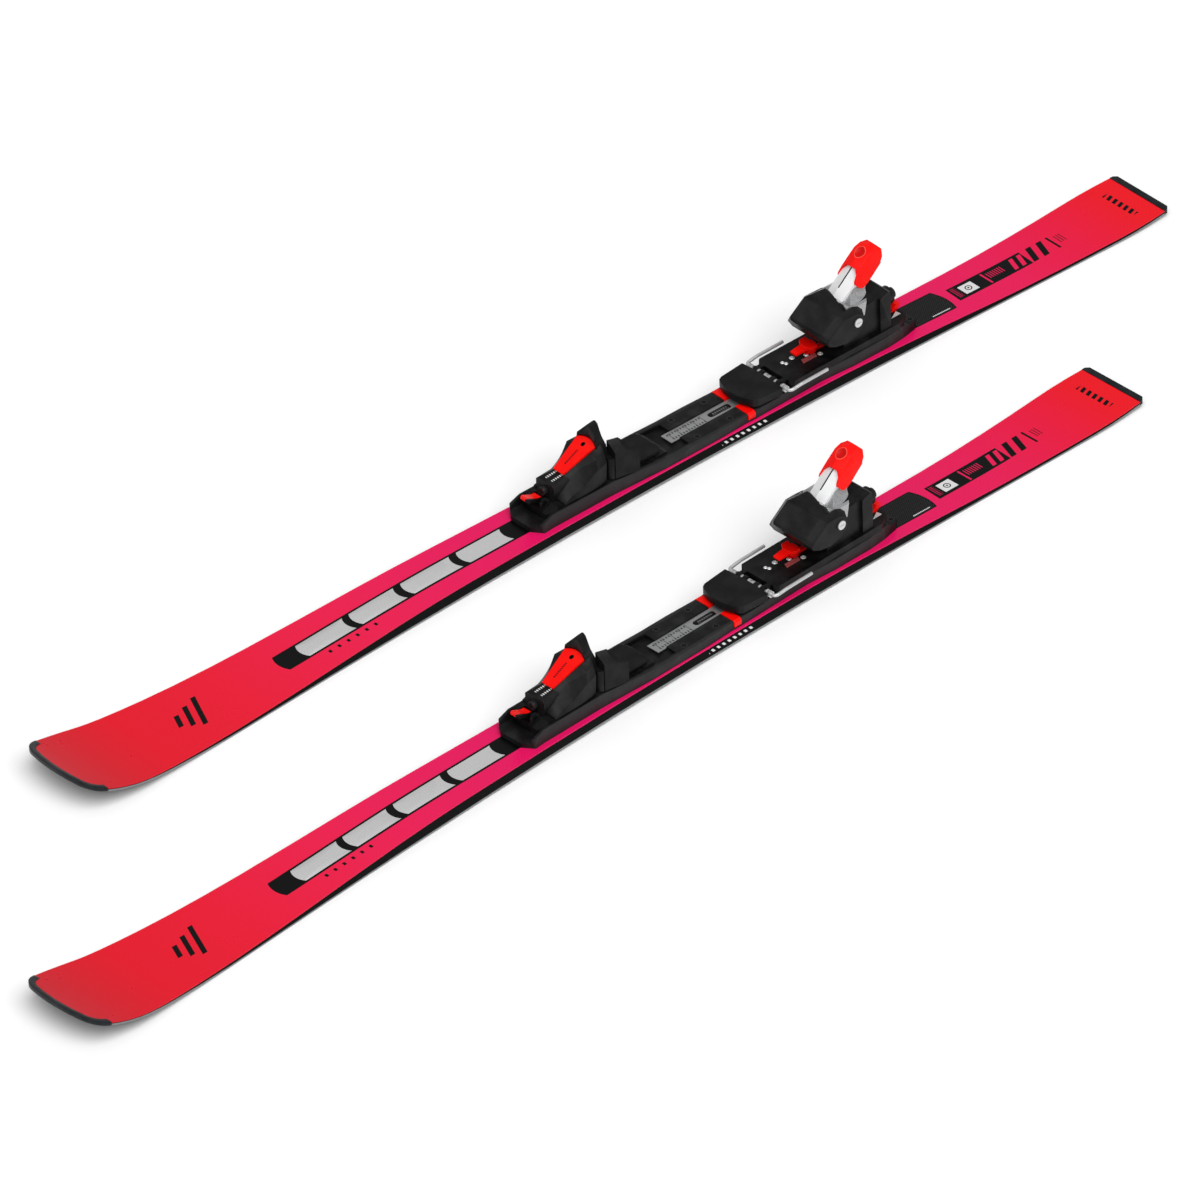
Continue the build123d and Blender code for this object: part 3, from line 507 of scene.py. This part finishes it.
def spring_steel(side):
    """Dark oiled spring steel, with turned rings."""
    f = Finish("spring_steel", side)
    rings = f.x.wave(3.2).below(0.6)
    f.colour(f.mix(f.noise(2, 4), (70, 70, 72), (118, 118, 120)))
    f.rough(f.noise(1.5, 4) * 0.2 + 0.25)
    f.bump(rings, 0.4, 0.8)
    f.fixed(Metallic=0.9)
    return f


def plate_charcoal(side):
    """Glass-filled track plate, with painted light making its flanks a little paler than its tops, and with
    rubbed streaks.
    """
    f = Finish("plate_charcoal", side)
    # painted light: the flanks are coloured paler because they catch more light than the tops
    lit_flank = f.y.size().above(27.5)
    base = f.mix(lit_flank, (38, 38, 39), (52, 52, 53))
    base = f.mix(f.noise(20, 5).ramp(0.35, 0.75) * 0.4, base, (66, 66, 67))
    rub = f.noise(1.2, 6, (30, 1, 1), 0.7).ramp(0.6, 0.78)
    f.colour(f.mix(rub * 0.2, base, (98, 98, 98)))
    f.rough(f.noise(8, 4) * 0.2 + 0.36)
    f.bump(f.noise(0.5, 2) * 0.7 + f.cells(0.7) * 0.5, 0.05, 0.5)
    f.fixed(Specular_IOR_Level=0.14)
    return f


def housing_black(side):
    """Matt black plastic: the hood's front is knurled, and its nose has two windows of plain ticks."""
    f = Finish("housing_black", side)
    shade = f.noise(20, 4).ramp(0.3, 0.75)
    base = f.mix(shade * 0.5, (30, 30, 31), (52, 52, 53))
    scuff = f.noise(4, 6, (3, 1, 1), 0.7).ramp(0.64, 0.8)
    windows = f.box((73, 88), (-7.2, -2.2)).most(f.box((73, 88), (2.6, 7.6))) * f.z.above(54)
    rows = (f.y + 4.7).size().below(1.5).most((f.y - 5.1).size().below(1.5))
    ticks = windows * f.x.wave(3.0).below(0.5) * rows
    worn = f.mix(scuff * 0.16, base, (104, 104, 104))
    f.colour(f.mix(ticks, f.mix(windows, worn, INK), WHITE))
    f.rough(f.noise(8, 3) * 0.2 + 0.34)
    f.fixed(Specular_IOR_Level=0.16)
    knurl = ((f.y + f.z).wave(2.0).below(0.5) * (f.y - f.z).wave(2.0).below(0.5))
    knurl = knurl * f.z.above(88) * f.x.above(16) * f.x.below(34) * f.y.below(4)
    f.bump(f.noise(0.42, 2) * 0.7 + f.cells(0.6) * 0.5 + knurl * 6.0, 0.05, 0.55)
    return f


def pad_black(side):
    """Slightly soft black pad."""
    return moulded("pad_black", side, (36, 36, 37), (50, 50, 51), 0.5)


def lever_silver(side):
    """White-painted lever face, with bare die-cast sides and fork."""
    f = Finish("lever_silver", side)
    paint = (f.y.size().below(13.2) * f.z.above(96)) * 1.0
    cast = f.noise(1.4, 5)
    slot = f.y.size().below(0.95) * f.z.above(106) * f.z.below(131)
    bare = f.mix(cast, (150, 152, 154), (206, 207, 208))
    white = f.mix(f.noise(10, 4), (226, 227, 228), (244, 244, 245))
    f.colour(f.mix(slot, f.mix(paint, bare, white), (40, 40, 42)))
    f.rough(cast * 0.15 + paint * 0.1 + 0.22)
    f.metal((paint * -0.75) + 0.8)
    f.bump(cast, 0.05, 0.45)
    f.fixed(Coat_Weight=0.15, Coat_Roughness=0.2)
    return f


def wire_black(side):
    """Bright drawn wire of the brake, and its collars."""
    f = Finish("wire_black", side)
    drawn = f.noise(0.4, 6, (40, 1, 1), 0.7)
    f.colour(f.mix(drawn, (176, 177, 178), (234, 234, 235)))
    f.rough(drawn * 0.2 + 0.16)
    f.bump(drawn, 0.02, 0.5)
    f.fixed(Metallic=0.5)
    return f


def window_red(side):
    """Smoky red clear plastic over a dark pocket."""
    f = Finish("window_red", side)
    f.colour(f.mix(f.noise(3, 4), (104, 40, 42), (172, 96, 96)))
    f.rough(f.noise(5, 3) * 0.1 + 0.12)
    f.bump(f.y.wave(2.0).below(0.5), 0.15, 0.5)
    f.fixed(Specular_IOR_Level=0.5)
    return f


FINISHES = (top_graphic, sidewall_black, edge_steel, ski_base, wood_core, guard_black, insert_silver,
            band_steel, red_plastic, screw_steel, spring_steel, plate_charcoal, housing_black, pad_black,
            lever_silver, wire_black, screw_black, window_red)
materials = {(f.__name__, side): f(side).material for f in FINISHES for side in SIDES}
slot_of = {p["node"]: p["material_slot"] for p in frame["record"]["subparts"]}
DARK_SCREWS = ("plate_screws", "toe_screw", "heel_screw")

BEVELS = {"toe_housing": 0.8, "toe_cover": 0.5, "wing_left": 0.9, "wing_right": 0.9, "toe_lock": 0.6,
          "toe_base": 0.5, "glide_pad": 0.6, "heel_base": 0.7, "heel_cup": 1.1, "heel_lever": 0.6,
          "lever_grip": 1.2, "heel_lock": 0.6, "brake_pad": 1.0, "track_plates": 0.7, "band_clip": 0.4,
          "scale_band": 0.2, "plate_screws": 0.25, "heel_axle": 0.3, "heel_screw": 0.4, "toe_screw": 0.4,
          "end_guards": 0.25, "damper_inserts": 0.1}


def soften(node, width):
    """Rounds a CAD node's sharp edges without touching its mesh."""
    weld = node.modifiers.new("weld", "WELD")
    weld.merge_threshold = 0.00001
    bevel = node.modifiers.new("bevel", "BEVEL")
    bevel.width = width / 1000
    bevel.segments = 2
    bevel.limit_method = "ANGLE"
    bevel.angle_limit = math.radians(24)
    bevel.use_clamp_overlap = True
    bevel.harden_normals = False


for name, node in frame["nodes"].items():
    side, kind = name.split("_", 1)
    paint = materials["screw_black" if kind in DARK_SCREWS else slot_of[name], side]
    node.data.materials.clear()
    node.data.materials.append(paint)
    if kind in BEVELS:
        soften(node, BEVELS[kind])


# Small fittings on the heel piece, its cup and the brake wire, in millimetres of a ski's own frame

RIVETS = ((-284.5, -5.1, 1.25), (-270.5, -5.7, 0.9), (-272.3, -1.5, 0.9), (-299.9, 1.7, 1.1),
          (-313.1, 11.0, 1.2))  # X, Y and size of each
RIVET_PROFILE = ((0, 0.5), (0.9, 0.55), (1.2, 0.95), (1.9, 0.85), (2.4, 0.4), (2.7, 0.15), (2.7, -0.5))
RING_PROFILE = ((5.75, -0.2), (5.75, 0.7), (6.3, 1.0), (7.0, 0.7), (7.2, 0.1), (7.2, -0.2), (5.75, -0.2))
COLLAR_PROFILE = ((2.15, -1.6), (3.9, -1.6), (3.9, -0.9), (3.1, -0.6), (3.1, 0.6), (3.9, 0.9), (3.9, 1.6),
                  (2.15, 1.6), (2.15, -1.6))
COLLARS = (-30, -26, -14, -3, 3, 14, 26, 30)  # each collar's Y on the brake wire
HINGE = (-243.0, 36.0)  # the brake hinge's X and Z
WINDOW = ((-288.9, 5.6), (-309.2, 5.8), (-307.3, 12.4), (-286.3, 12.4))
GUSSET = ((-430, 10), (-431, 17), (-417, 17))
SUNK, WINDOW_HEIGHT, GUSSET_HEIGHT = 0.3, 1.0, 0.8
AXLE = (-351.5, 75.5)  # the heel axle's X and Z
CHEEK = 33.5  # how far the cup's cheeks are from the middle


def deck_height(side, x, y, nodes):
    """The height of the topmost surface of some CAD nodes at a place of the ski, in millimetres."""
    spot = ski_matrix(side) @ Vector((x / 1000, y / 1000, 0))
    heights = []
    for node in nodes:
        mesh = frame["nodes"][f"{side}_{node}"].data
        tree = BVHTree.FromPolygons([v.co for v in mesh.vertices], [p.vertices for p in mesh.polygons])
        hit = tree.ray_cast(Vector((spot.x, spot.y, 0.3)), Vector((0, 0, -1)))[0]
        if hit is not None:
            heights.append(hit.z * 1000)
    return max(heights)


def fit(name, side, body, slot, finish, points, faces, edge=0.0):
    """Makes a piece from points in the ski's frame and lets it ride on a body."""
    mesh = bpy.data.meshes.new(name)
    mesh.from_pydata([Vector(p) / 1000 for p in points], [], faces)
    mesh.transform(ski_matrix(side))
    shape = bmesh.new()
    shape.from_mesh(mesh)
    bmesh.ops.recalc_face_normals(shape, faces=shape.faces)
    shape.to_mesh(mesh)
    shape.free()
    mesh.materials.append(materials[finish, side])
    piece = bpy.data.objects.new(f"{side}_{name}", mesh)
    bpy.context.scene.collection.objects.link(piece)
    if edge:
        soften(piece, edge)
    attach(piece, f"{side}_{body}")


TURNS = 28  # points round a lathed piece


def turned(profile, centre, along):
    """Points and faces of a lathed shape, from (radius, height) pairs, about an axis along Y or Z."""
    points, faces = [], []
    for radius, height in profile:
        for i in range(TURNS):
            c, s = (radius * f(2 * math.pi * i / TURNS) for f in (math.cos, math.sin))
            step = (c, along[1] * height, s) if along[1] else (c, s, along[2] * height)
            points.append(tuple(a + b for a, b in zip(centre, step)))
    for row in range(len(profile) - 1):
        for i in range(TURNS):
            a, b = row * TURNS + i, row * TURNS + (i + 1) % TURNS
            faces.append((a, b, b + TURNS, a + TURNS))
    return points, faces


def plate(outline, low, high):
    """Points and faces of a flat plate between two heights."""
    count = len(outline)
    points = [(x, y, low) for x, y in outline] + [(x, y, high) for x, y in outline]
    faces = [tuple(range(count)), tuple(range(count, 2 * count))]
    return points, faces + [(i, (i + 1) % count, (i + 1) % count + count, i + count) for i in range(count)]


for side in SIDES:
    for number, (x, y, scale) in enumerate(RIVETS):
        top = deck_height(side, x, y, ("heel_base",))
        profile = [(radius * scale, height) for radius, height in RIVET_PROFILE]
        fit(f"deck_rivet_{number}", side, "heel_body", "screw_steel", "screw_steel",
            *turned(profile, (x, y, top), (0, 0, 1)))
    for number, y in enumerate(COLLARS):
        fit(f"brake_collar_{number}", side, "brake_body", "wire_black", "wire_black",
            *turned(COLLAR_PROFILE, (HINGE[0], y, HINGE[1]), (0, 1, 0)))
    top = deck_height(side, -298, 9, ("heel_base",))
    fit("lock_window", side, "heel_body", "red_plastic", "window_red",
        *plate(WINDOW, top - SUNK, top + WINDOW_HEIGHT), 0.3)
    top = deck_height(side, -428, 15.5, ("heel_base",))
    fit("rear_gusset", side, "heel_body", "insert_silver", "insert_silver",
        *plate(GUSSET, top - SUNK, top + GUSSET_HEIGHT), 0.2)
    for end in (-1, 1):
        name = f"axle_ring_{'near' if end > 0 else 'far'}"
        fit(name, side, "heel_cup_body", "housing_black", "screw_black",
            *turned(RING_PROFILE, (AXLE[0], end * CHEEK, AXLE[1]), (0, end, 0)))
